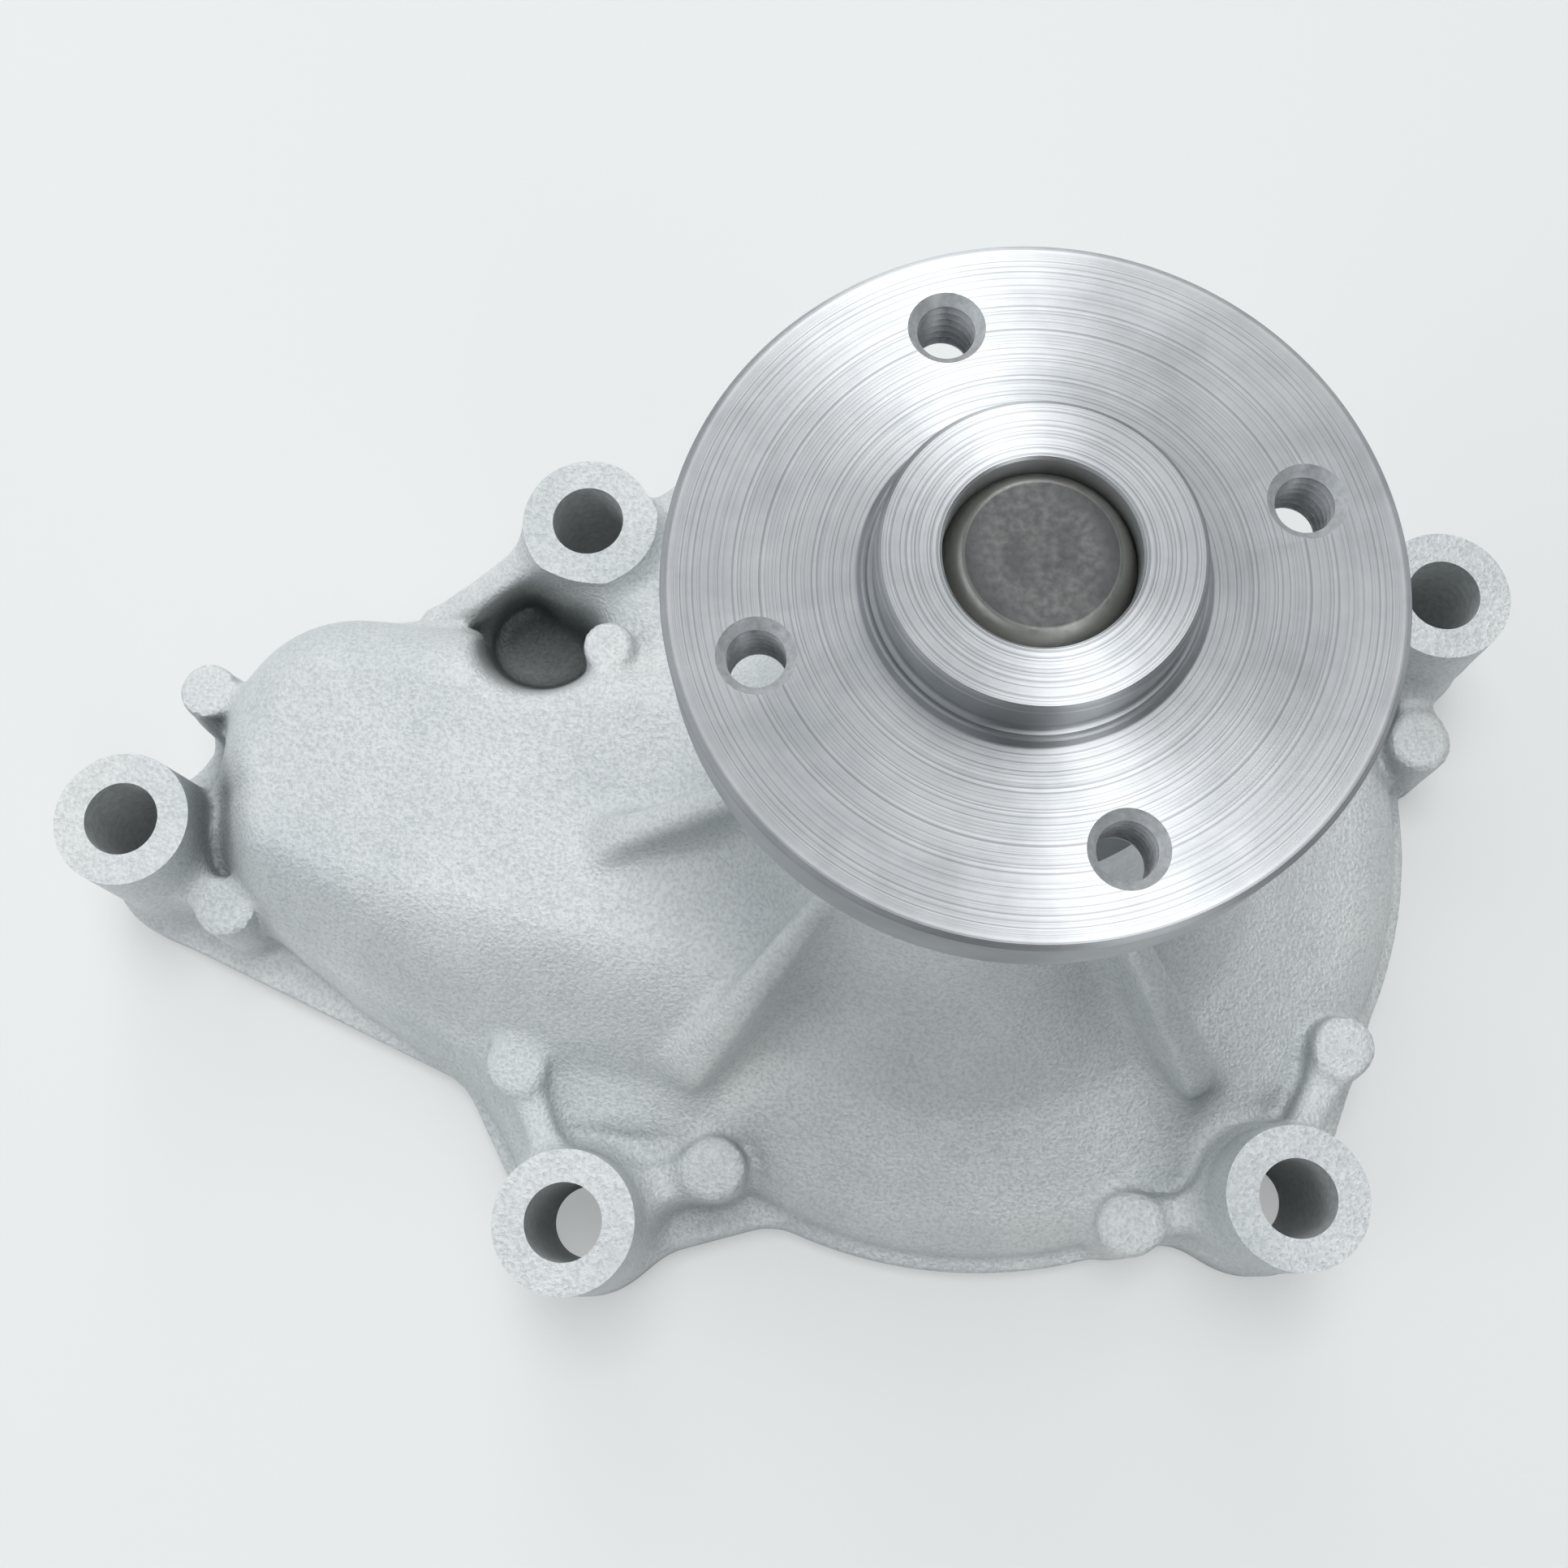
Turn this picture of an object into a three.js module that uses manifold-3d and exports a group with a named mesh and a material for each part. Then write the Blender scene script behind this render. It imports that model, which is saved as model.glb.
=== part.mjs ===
// Belt-driven engine coolant pump: die-cast housing with five bolt bosses, integral-shaft
// bearing, spring-loaded face seal, open impeller and a tapped drive flange.
// Millimetres. The shaft is the Z axis and the gasket face is the plane z = 0.
import * as THREE from "three";
import { mergeVertices } from "three/addons/utils/BufferGeometryUtils.js";
import Module from "manifold-3d";

const wasm = await Module();
wasm.setup();

// Bolt bosses: 9 mm holes for M8 bolts, all five tops at one height.
const BOSSES = [[-102.7, -4], [-46.8, 35], [-46.8, -51.5], [37.3, -48.5], [60.6, 24.7]];
const BOSS_R = 8.25;
const BOSS_FOOT_R = 9;
const BOSS_HOLE_R = 4.5;
const BOSS_TOP = 26;

// Volute rim, a circle a little off the shaft axis.
const RIM = { x: 2.5, y: 0.5, r: 58.2, edge: 6, shoulder: 54.5, ledge: 12.5 };
const CHAMBER_R = 50.5;
const PASSAGE_TOP = 28.5;

// Hub with the bearing and seal bores.
const HUB_R = 21;
const HUB_TOP = 73;
const SEAL_BORE_R = 18.25;
const SEAL_SEAT = 18.2;
const WEEP_Z = 30.6;
const WEEP_ANGLE = 61;
const BEARING_FIT = 0.15;

// Water-pump bearing with a 16 mm shaft, 30 mm outside and 98 mm long.
const SHAFT_R = 7.96;
const SHAFT_FROM = 2;
const SHAFT_TO = 100;
const RING_R = 15;
const RING_BORE_R = 12.3;
const RING_FROM = 33;
const RING_TO = 71.9;
const ROWS = { rear: 42.7, front: 62.3 };
const BALL_R = 3;
const BALL_PITCH_R = 10.2;
const BALL_COUNT = 8;
const GROOVE_R = 3.25;

// Drive flange.
const FLANGE_R = 30.9;
const FLANGE_FACE = 95;
const FLANGE_BACK = 87;
const NOSE_R = 13.3;
const NOSE_TOP = 100.6;
const FLANGE_HUB_R = 14;
const FLANGE_HUB_END = 75;
const PRESS_GAP = 0.15;
const TAPPED_R = 2.5;
const TAPPED_CHAMFER_R = 3.3;
const TAPPED_CIRCLE_R = 23.8;
const TAPPED_COUNT = 4;
const TAPPED_FIRST = 16.4;

// Impeller.
const IMPELLER_R = 37;
const VANE_COUNT = 6;
const VANE_FROM = 1.4;
const VANE_THICKNESS = 2.8;

const paint = (color, roughness, metalness) =>
  new THREE.MeshStandardMaterial({ color, roughness, metalness });
const castAluminium = paint(0xcdd1d1, 0.62, 0.75);
const turnedSteel = paint(0xb9bcbd, 0.32, 1);
const bearingSteel = paint(0x5c5b56, 0.38, 1);
const ballSteel = paint(0xc8cacb, 0.12, 1);
const blackRubber = paint(0x1c1c1d, 0.75, 0);
const cagePlastic = paint(0x2f5f45, 0.55, 0);
const sealBrass = paint(0xb08d4a, 0.35, 1);
const springSteel = paint(0xa7abad, 0.25, 1);
const carbon = paint(0x2c2d2f, 0.45, 0.2);
const ceramic = paint(0xefece4, 0.3, 0);
const castIron = paint(0x55575a, 0.6, 0.85);

const radians = THREE.MathUtils.degToRad;

// A closed geometry as a solid for joining and cutting.
function solid(shape) {
  const bare = shape.clone();
  bare.deleteAttribute("normal");
  bare.deleteAttribute("uv");
  const merged = mergeVertices(bare, 1e-4);
  const kept = [];
  const index = merged.index.array;
  for (let i = 0; i < index.length; i += 3) {
    const [a, b, c] = [index[i], index[i + 1], index[i + 2]];
    if (a !== b && b !== c && c !== a) kept.push(a, b, c);
  }
  return new wasm.Manifold(
    new wasm.Mesh({
      numProp: 3,
      vertProperties: merged.attributes.position.array,
      triVerts: new Uint32Array(kept),
    }),
  );
}

function join(shapes) {
  return shapes.map(solid).reduce((sum, next) => sum.add(next));
}

function cut(body, shapes) {
  return shapes.map(solid).reduce((rest, next) => rest.subtract(next), body);
}

function toGeometry(body) {
  const mesh = body.getMesh();
  const shape = new THREE.BufferGeometry();
  shape.setAttribute("position", new THREE.BufferAttribute(mesh.vertProperties, 3));
  shape.setIndex(new THREE.BufferAttribute(mesh.triVerts, 1));
  shape.computeVertexNormals();
  return shape;
}

// Profile of [radius, height] pairs turned about Z. A profile off the axis is closed.
function turned(profile, segments = 24) {
  const points = profile.map(([r, z]) => new THREE.Vector2(r, z));
  if (profile[0][0] > 0) points.push(points[0].clone());
  return new THREE.LatheGeometry(points, segments).rotateX(Math.PI / 2);
}

function post(x, y, footR, topR, from, to, segments = 20) {
  return new THREE.CylinderGeometry(topR, footR, to - from, segments)
    .rotateX(Math.PI / 2)
    .translate(x, y, (from + to) / 2);
}

// Outline stretched round circles given as [x, y, r].
function around(circles, steps = 20) {
  const cloud = [];
  for (const [x, y, r] of circles) {
    for (let i = 0; i < steps; i += 1) {
      const a = (2 * Math.PI * i) / steps;
      cloud.push([x + r * Math.cos(a), y + r * Math.sin(a)]);
    }
  }
  cloud.sort((p, q) => p[0] - q[0] || p[1] - q[1]);
  const turn = (o, p, q) => (p[0] - o[0]) * (q[1] - o[1]) - (p[1] - o[1]) * (q[0] - o[0]);
  const half = (points) => {
    const chain = [];
    for (const point of points) {
      while (chain.length > 1 && turn(chain.at(-2), chain.at(-1), point) <= 1e-9) chain.pop();
      chain.push(point);
    }
    chain.pop();
    return chain;
  };
  const hull = [...half(cloud), ...half(cloud.toReversed())];
  const apart = ([x, y], i) => Math.hypot(x - hull.at(i - 1)[0], y - hull.at(i - 1)[1]) > 0.5;
  return new THREE.Shape(hull.filter(apart).map(([x, y]) => new THREE.Vector2(x, y)));
}

function plate(shape, from, to) {
  const extruded = new THREE.ExtrudeGeometry(shape, { depth: to - from, bevelEnabled: false });
  return extruded.translate(0, 0, from);
}

// Plate whose top edge is rounded inwards; its rounded foot is sunk below z = 0 and cut off.
function pillow(shape, top, inset, rise) {
  return new THREE.ExtrudeGeometry(shape, {
    depth: top - rise + 5,
    bevelThickness: rise,
    bevelSize: inset,
    bevelOffset: -inset,
    bevelSegments: 3,
  }).translate(0, 0, -5);
}

// Rib with a sloping top, standing radially at an angle in degrees.
function rib(angle, inner, outer, highZ, lowZ, footZ, width) {
  const side = new THREE.Shape([
    new THREE.Vector2(inner, footZ),
    new THREE.Vector2(outer, footZ),
    new THREE.Vector2(outer, lowZ),
    new THREE.Vector2(inner, highZ),
  ]);
  return new THREE.ExtrudeGeometry(side, { depth: width, bevelEnabled: false })
    .rotateX(Math.PI / 2)
    .translate(0, width / 2, 0)
    .rotateZ(radians(angle));
}

function pumpHousing() {
  const rim = turned([
    [0, 0], [RIM.r, 0], [RIM.r, RIM.edge], [RIM.shoulder, RIM.ledge], [45, 14], [0, 14],
  ], 48).translate(RIM.x, RIM.y, 0);
  const dome = turned([
    [0, 10], [44, 12], [44, 14.2], [38, 17.5], [31, 23.5], [26.5, 31.5], [23.5, 42],
    [HUB_R, 52], [HUB_R, HUB_TOP - 0.8], [HUB_R - 0.8, HUB_TOP], [0, HUB_TOP],
  ], 32);
  const passage = pillow(
    around([[-76.9, 8.3, 18.5], [-92, -7.5, 9.5], [-70, -16, 12], [-62, -22, 10], [-40, -2, 18.5]]),
    PASSAGE_TOP, 8, 15);
  const passageRim = plate(
    around([[-76.9, 8.3, 20.1], [-101, -6.5, 9], [-70, -16, 13.6], [-62, -22, 11.6]]), 0, 7);
  const lowerLeft = pillow(
    around([[-58, -24, 8.5], [-46.8, -51.5, 6], [-30, -30, 12.5]]), 15.5, 3, 6);
  const lowerLeftSlope = pillow(around([[-63, -20, 9], [-50, -32, 8], [-30, -18, 19]]), 21, 7, 9);
  const lowerLeftRim = plate(around([[-58, -24, 9.5], [-46.8, -51.5, 6.8], [-30, -30, 14]]), 0, 6);
  const webs = [
    plate(around([[-46.8, -51.5, 6.2], [-26, -38, 14]]), 0, 7),
    plate(around([[37.3, -48.5, 7.5], [36, -26, 17], [18, -38, 14]]), 0, 7),
    plate(around([[60.6, 24.7, 8], [40, 14, 16]]), 0, 7),
    plate(around([[-46.8, 35, 7], [-30, 32, 15]]), 0, 9),
    plate(around([[-72, 14, 13.2], [-50, 28, 6.5]]), 0, 8),
    plate(around([[-52, 33, 2.8], [-66, 26.5, 2.4]]), 0, 19),
    pillow(around([[-43, 29, 8.5], [-31, 37, 10], [-26, 14, 14]]), 24.5, 6, 10),
  ];
  const bosses = BOSSES.map(([x, y]) => post(x, y, BOSS_FOOT_R, BOSS_R, 0, BOSS_TOP));
  const pads = [
    [-91.9, -13.4, 15.5], [-54.3, -32.6, 17], [-30.1, -45.2, 15.5], [20, -51.6, 14],
    [46.9, -30.3, 16], [60.4, 8.9, 14], [-43.7, 18.2, 26.6],
  ].map(([x, y, top]) => post(x, y, 4.3, 4, 1, top, 10));
  const stub = post(-95.6, 14.2, 4.3, 4, 1, 20.5, 12);
  const ribs = [
    rib(189.5, 18, 41, 43, 34, 16, 5),
    rib(225.5, 18, 48, 46, 20, 12, 6),
    rib(309, 18, 45, 46, 21, 12, 6),
    rib(22, 18, 48, 44, 17, 12, 6),
    rib(100, 18, 44, 42, 17, 12, 6),
  ];
  const weep = radians(WEEP_ANGLE);
  const lobe = post(25 * Math.cos(weep), 25 * Math.sin(weep), 7, 5, 12, 37, 12);
  const body = join([
    rim, dome, passage, passageRim, lowerLeft, lowerLeftSlope, lowerLeftRim,
    ...webs, ...bosses, ...pads, stub, ...ribs, lobe,
  ]);
  const chamber = turned([
    [0, -1], [CHAMBER_R, -1], [CHAMBER_R, 5], [48, 9], [42, 9.8], [0, 9.8],
  ], 36).translate(RIM.x, RIM.y, 0);
  const vault = turned([
    [0, 8], [42.5, 8], [38, 12.5], [31, 17], [24, SEAL_SEAT], [0, SEAL_SEAT],
  ]);
  const bore = turned([
    [0, 15], [SEAL_BORE_R, 15], [SEAL_BORE_R, 28.9], [13.5, 28.9], [13.5, RING_FROM - 0.6],
    [RING_R + BEARING_FIT, RING_FROM - 0.6], [RING_R + BEARING_FIT, 80], [0, 80],
  ]);
  const duct = pillow(around([[-77.5, 7.5, 14.2], [-71, -14, 9]]), 23, 5, 8);
  const throat = pillow(around([[-70, -6, 13], [-38, -4, 14]]), 20.5, 5, 8);
  const pocket = new THREE.CylinderGeometry(8, 5.2, 34, 20)
    .rotateX(Math.PI / 2)
    .scale(1, 0.72, 1)
    .rotateZ(radians(-14))
    .translate(-53.5, 22.5, 8 + 17);
  const holes = BOSSES.map(([x, y]) => post(x, y, BOSS_HOLE_R, BOSS_HOLE_R, -2, 40, 16));
  const weepHole = new THREE.CylinderGeometry(1.9, 1.9, 26, 12)
    .rotateZ(-Math.PI / 2)
    .translate(23, 0, WEEP_Z)
    .rotateZ(weep);
  const below = new THREE.BoxGeometry(300, 300, 40).translate(0, 0, -20);
  return toGeometry(
    cut(body, [below, chamber, vault, bore, duct, throat, pocket, ...holes, weepHole]));
}

// Ball groove across a straight wall at radius wall, bottom to top.
function groove(wall, rowZ, side) {
  const half = Math.acos((side * (wall - BALL_PITCH_R)) / GROOVE_R);
  const points = [];
  for (let i = 0; i <= 4; i += 1) {
    const a = half * (i / 2 - 1);
    points.push([BALL_PITCH_R + side * GROOVE_R * Math.cos(a), rowZ + GROOVE_R * Math.sin(a)]);
  }
  return points;
}

function bearingShaft() {
  return turned([
    [0, SHAFT_FROM], [SHAFT_R - 1, SHAFT_FROM], [SHAFT_R, SHAFT_FROM + 1],
    ...groove(SHAFT_R, ROWS.rear, -1),
    ...groove(SHAFT_R, ROWS.front, -1),
    [SHAFT_R, SHAFT_TO - 1.2], [SHAFT_R - 1.2, SHAFT_TO], [0, SHAFT_TO],
  ]);
}

function bearingOuterRing() {
  return turned([
    [RING_BORE_R, RING_TO],
    ...groove(RING_BORE_R, ROWS.front, 1).reverse(),
    ...groove(RING_BORE_R, ROWS.rear, 1).reverse(),
    [RING_BORE_R, RING_FROM], [RING_R - 0.5, RING_FROM], [RING_R, RING_FROM + 0.5],
    [RING_R, RING_TO - 0.5], [RING_R - 0.5, RING_TO],
  ]);
}

function ballPlaces() {
  return Array.from({ length: BALL_COUNT }, (_, i) => {
    const a = (2 * Math.PI * i) / BALL_COUNT;
    return [BALL_PITCH_R * Math.cos(a), BALL_PITCH_R * Math.sin(a)];
  });
}

function bearingCage(direction) {
  const ends = [-1.6 * direction, 4 * direction].sort((a, b) => a - b);
  const band = turned([[8.6, ends[0]], [11.8, ends[0]], [11.8, ends[1]], [8.6, ends[1]]], 16);
  const pockets = ballPlaces().map((_, i) =>
    new THREE.CylinderGeometry(BALL_R + 0.5, BALL_R + 0.5, 8, 8)
      .rotateZ(Math.PI / 2)
      .translate(BALL_PITCH_R, 0, 0)
      .rotateZ((2 * Math.PI * i) / BALL_COUNT));
  return toGeometry(cut(solid(band), pockets));
}

function shaftRing(from, to, inner, outer) {
  return turned([[inner, from], [outer, from], [outer, to], [inner, to]]);
}

function slinger() {
  return turned([[8.2, 29.5], [9.8, 29.5], [12.4, 30.7], [12.4, 31.5], [8.2, 31.5]]);
}

function sealCase() {
  return turned([
    [17.3, 17.1], [20, 17.1], [20, 17.9], [18.1, 17.9], [18.1, 28.6],
    [9.6, 28.6], [9.6, 27.8], [17.3, 27.8],
  ]);
}

function sealBellows() {
  return turned([
    [9.6, 22.8], [11.4, 22.8], [12, 24.5], [11.4, 26.3], [16.9, 26.3], [16.9, 27.5],
    [9.6, 27.5],
  ]);
}

function sealSpring() {
  const turns = 2;
  const points = Array.from({ length: 41 }, (_, i) => {
    const a = (2 * Math.PI * turns * i) / 40;
    return new THREE.Vector3(14 * Math.cos(a), 14 * Math.sin(a), 23.6 + (1.7 * i) / 40);
  });
  const wire = new THREE.Shape().absarc(0, 0, 0.55, 0, 2 * Math.PI);
  return new THREE.ExtrudeGeometry(wire, {
    steps: 36,
    curveSegments: 3,
    bevelEnabled: false,
    extrudePath: new THREE.CatmullRomCurve3(points),
  });
}

function carbonRing() {
  return turned([
    [9.6, 18.5], [12.2, 18.5], [12.2, 20.3], [15.4, 20.3], [15.4, 22.5], [9.6, 22.5],
  ]);
}

function seatCup() {
  return turned([
    [8.7, 12.8], [14, 12.8], [14, 17.2], [12.6, 17.2], [12.6, 13.9], [8.7, 13.9],
  ]);
}

function impeller() {
  const wheel = turned([
    [SHAFT_R + PRESS_GAP, VANE_FROM], [12, VANE_FROM], [13.5, 9], [IMPELLER_R, 7.4],
    [IMPELLER_R, 9.6], [30, 12], [16, 13.4], [16, 17.4], [14.3, 17.4], [14.3, 12.5],
    [SHAFT_R + PRESS_GAP, 12.5],
  ]);
  const sweep = 0.75;
  const edge = (side) =>
    Array.from({ length: 7 }, (_, i) => {
      const r = 12 + ((IMPELLER_R - 12.2) * i) / 6;
      const a = (-sweep * i) / 6 + (side * VANE_THICKNESS) / 2 / r;
      return new THREE.Vector2(r * Math.cos(a), r * Math.sin(a));
    });
  const outline = new THREE.Shape([...edge(-1), ...edge(1).reverse()]);
  const vanes = Array.from({ length: VANE_COUNT }, (_, i) =>
    plate(outline, VANE_FROM, 8.8).rotateZ((2 * Math.PI * i) / VANE_COUNT));
  return toGeometry(join([wheel, ...vanes]));
}

function driveFlange() {
  const wheel = turned([
    [SHAFT_R + PRESS_GAP, FLANGE_HUB_END], [FLANGE_HUB_R - 1, FLANGE_HUB_END],
    [FLANGE_HUB_R, FLANGE_HUB_END + 1], [FLANGE_HUB_R, FLANGE_BACK - 1.5],
    [FLANGE_HUB_R + 1.5, FLANGE_BACK], [FLANGE_R - 0.6, FLANGE_BACK],
    [FLANGE_R, FLANGE_BACK + 0.6], [FLANGE_R, FLANGE_FACE - 0.6],
    [FLANGE_R - 0.6, FLANGE_FACE], [NOSE_R + 0.9, FLANGE_FACE],
    [NOSE_R + 0.9, FLANGE_FACE + 0.8], [NOSE_R, FLANGE_FACE + 1.2],
    [NOSE_R, NOSE_TOP - 0.7], [NOSE_R - 0.7, NOSE_TOP],
    [SHAFT_R + PRESS_GAP + 0.65, NOSE_TOP], [SHAFT_R + PRESS_GAP, NOSE_TOP - 0.65],
  ], 36);
  const deep = TAPPED_CHAMFER_R - TAPPED_R + 0.5;
  const tool = [
    [0, FLANGE_BACK - 1], [TAPPED_CHAMFER_R + 0.2, FLANGE_BACK - 0.3],
    [TAPPED_R, FLANGE_BACK + deep], [TAPPED_R, FLANGE_FACE - deep + 0.2],
    [TAPPED_CHAMFER_R + 0.3, FLANGE_FACE + 0.3], [0, FLANGE_FACE + 1],
  ];
  const holes = Array.from({ length: TAPPED_COUNT }, (_, i) =>
    turned(tool, 10)
      .translate(TAPPED_CIRCLE_R, 0, 0)
      .rotateZ(radians(TAPPED_FIRST + (360 * i) / TAPPED_COUNT)));
  return toGeometry(cut(solid(wheel), holes));
}

function named(name, shape, material) {
  const mesh = new THREE.Mesh(shape, material.clone());
  mesh.name = name;
  return mesh;
}

function ballRow(end) {
  const row = new THREE.Group();
  row.position.z = ROWS[end];
  row.add(named(`${end}_bearing_cage`, bearingCage(end === "rear" ? 1 : -1), cagePlastic));
  ballPlaces().forEach(([x, y], i) => {
    const ball = named(`${end}_ball_${i + 1}`, new THREE.SphereGeometry(BALL_R, 8, 6), ballSteel);
    ball.position.set(x, y, 0);
    row.add(ball);
  });
  return row;
}

const bearing = new THREE.Group();
bearing.add(
  named("bearing_shaft", bearingShaft(), bearingSteel),
  named("bearing_outer_ring", bearingOuterRing(), bearingSteel),
  ballRow("front"),
  ballRow("rear"),
  named("front_bearing_seal", shaftRing(69.9, 71.3, SHAFT_R + 0.2, RING_BORE_R - 0.2), blackRubber),
  named("rear_bearing_seal", shaftRing(33.6, 35, SHAFT_R + 0.2, RING_BORE_R - 0.2), blackRubber),
);

const shaftSeal = new THREE.Group();
shaftSeal.add(
  named("seal_case", sealCase(), sealBrass),
  named("seal_bellows", sealBellows(), blackRubber),
  named("seal_spring", sealSpring(), springSteel),
  named("carbon_ring", carbonRing(), carbon),
  named("ceramic_seat", shaftRing(14.2, 18.2, 9, 12.3), ceramic),
  named("seat_cup", seatCup(), blackRubber),
);

const waterPump = new THREE.Group();
waterPump.add(
  named("pump_housing", pumpHousing(), castAluminium),
  bearing,
  shaftSeal,
  named("slinger", slinger(), blackRubber),
  named("impeller", impeller(), castIron),
  named("drive_flange", driveFlange(), turnedSteel),
);

export default waterPump;
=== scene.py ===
# Engine coolant pump: a shot-blasted die casting with a bright turned drive flange, its bearing,
# face seal and impeller. Lengths below are millimetres unless a name says otherwise; MM turns
# them into Blender's metres. The shaft is the Z axis and the gasket face is z = 0.
import math

import bmesh
import bpy
import numpy as np
from mathutils import Matrix, Vector


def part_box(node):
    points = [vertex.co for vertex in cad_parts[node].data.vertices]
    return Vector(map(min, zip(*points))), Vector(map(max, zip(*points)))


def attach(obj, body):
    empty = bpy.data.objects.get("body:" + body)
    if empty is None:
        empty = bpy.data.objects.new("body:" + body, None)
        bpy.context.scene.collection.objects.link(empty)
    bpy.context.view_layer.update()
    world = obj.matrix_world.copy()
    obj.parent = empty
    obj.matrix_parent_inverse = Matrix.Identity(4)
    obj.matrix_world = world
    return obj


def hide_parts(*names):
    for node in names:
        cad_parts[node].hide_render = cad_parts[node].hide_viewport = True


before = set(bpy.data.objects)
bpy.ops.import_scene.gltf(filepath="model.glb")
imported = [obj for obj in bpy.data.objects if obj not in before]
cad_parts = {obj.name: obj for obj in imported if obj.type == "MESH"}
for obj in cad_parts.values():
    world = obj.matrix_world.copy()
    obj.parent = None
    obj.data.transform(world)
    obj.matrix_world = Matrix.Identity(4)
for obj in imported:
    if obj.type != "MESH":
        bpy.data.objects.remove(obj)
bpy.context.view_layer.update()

MM = 0.001
TURN = 2 * math.pi


def extent(name):
    """Radius, lowest and highest point in millimetres of a CAD node turned about the shaft."""
    low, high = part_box(name)
    return [round(value / MM, 2) for value in (high[0], low[2], high[2])]


def middle(name):
    """Centre of a CAD node, in millimetres."""
    return [round((low + high) / 2 / MM, 2) for low, high in zip(*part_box(name))]


# Bolt bosses of the casting, all topped at one height.
LEFT, UPPER_LEFT, LOWER_LEFT = (-102.7, -4.0), (-46.8, 35.0), (-46.8, -51.5)
LOWER_RIGHT, RIGHT = (37.3, -48.5), (60.6, 24.7)
BOSSES = (LEFT, UPPER_LEFT, LOWER_LEFT, LOWER_RIGHT, RIGHT)
BOSS_R = 8.25
BOSS_TOP = 26.0
BOSS_CAST_TOP = 29.0  # before its top is faced
BOSS_DRAFT = 0.03
BOLT_HOLE_R = 4.5
RIM_X, RIM_Y, RIM_R = 2.5, 0.5, 58.1
FOOT_TOP = 4.6
PASSAGE = (-76.9, 8.3, 20.1)  # round end of the outlet passage: x, y, radius
CROWN = 28.4  # top of the passage's dome
POCKET_FLOOR = 3.6
HUB_TOP = extent("pump_housing")[2]
SEAL_BORE_R = 18.2
BEARING_R = 15.02
WEEP_Z = 30.6
WEEP_R = 1.9
WEEP_ANGLE = math.radians(61)

SHAFT_R, SHAFT_FROM, SHAFT_TO = extent("bearing_shaft")
FLANGE_R, FLANGE_FROM, NOSE_TOP = extent("drive_flange")
FLANGE_FACE = 95.0
FLANGE_BACK = 87.0
NOSE_R = 13.3
TAPPED_CIRCLE_R = 23.8
TAPPED_FIRST = math.radians(16.4)
TAPPED_MINOR_R, TAPPED_MAJOR_R, TAPPED_PITCH = 2.5, 3.05, 1.0
BALL_COUNT = 8
BALL_R = 3.0
BALL_PITCH_R = middle("rear_ball_1")[0]
BALL_ROWS = {row: middle(f"{row}_ball_1")[2] for row in ("rear", "front")}


# ---------------------------------------------------------------- finishes

def srgb(code):
    """Linear colour of an sRGB hex value."""
    parts = [int(code[i:i + 2], 16) / 255 for i in (1, 3, 5)]
    return tuple(c / 12.92 if c < 0.04045 else ((c + 0.055) / 1.055) ** 2.4 for c in parts) + (1,)


def node(tree, kind, settings=None, links=None, stops=None):
    """Add one node: settings are attributes or socket values, links are socket -> output, and
    stops are a colour ramp's (position, sRGB hex) pairs."""
    made = tree.nodes.new(kind)
    for key, value in (settings or {}).items():
        if isinstance(key, str) and hasattr(made, key):
            setattr(made, key, value)
        else:
            made.inputs[key].default_value = value
    for key, output in (links or {}).items():
        tree.links.new(output, made.inputs[key])
    if stops:
        elements = made.color_ramp.elements
        while len(elements) < len(stops):
            elements.new(0.5)
        for element, (at, code) in zip(elements, stops):
            element.position = at
            element.color = srgb(code)
    return made


MULTIPLIED = {"data_type": "RGBA", "blend_type": "MULTIPLY"}


def finish(name, base, metallic, roughness, **sockets):
    """A material with its surface shader; returns the material, its tree and the shader."""
    material = bpy.data.materials.new(name)
    material.use_nodes = True
    tree = material.node_tree
    tree.nodes.clear()
    shader = node(tree, "ShaderNodeBsdfPrincipled", {
        "Base Color": srgb(base), "Metallic": metallic, "Roughness": roughness, **sockets})
    node(tree, "ShaderNodeOutputMaterial", None, {"Surface": shader.outputs[0]})
    return material, tree, shader


def place(tree):
    """Object coordinates in millimetres, so that a noise Scale counts grains per millimetre."""
    where = node(tree, "ShaderNodeTexCoord")
    return node(tree, "ShaderNodeVectorMath", {"operation": "SCALE", "Scale": 1000.0},
                {0: where.outputs["Object"]}).outputs[0]


def shaft_radius(tree, where):
    """Distance from the shaft axis in millimetres."""
    flat = node(tree, "ShaderNodeVectorMath", {"operation": "MULTIPLY", 1: (1.0, 1.0, 0.0)},
                {0: where})
    return node(tree, "ShaderNodeVectorMath", {"operation": "LENGTH"},
                {0: flat.outputs[0]}).outputs["Value"]


def dress(tree, shader, colour, grain, rough, strength, depth_mm, relief=None, under=None):
    """Wire a finish: its colour, a roughness from rough[0] to rough[1] that follows the grain,
    and relief (or the grain) as bump of a real depth, on top of a coarser bump under it."""
    tree.links.new(colour, shader.inputs["Base Color"])
    if rough:
        # Noise lies mostly between 0.3 and 0.7.
        follow = node(tree, "ShaderNodeMapRange", {"From Min": 0.3, "From Max": 0.7,
                                                   "To Min": rough[0], "To Max": rough[1]},
                      {0: grain})
        tree.links.new(follow.outputs[0], shader.inputs["Roughness"])
    links = {"Height": relief or grain}
    if under:
        links["Normal"] = under
    bump = node(tree, "ShaderNodeBump", {"Strength": strength, "Distance": depth_mm * MM}, links)
    tree.links.new(bump.outputs[0], shader.inputs["Normal"])


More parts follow.
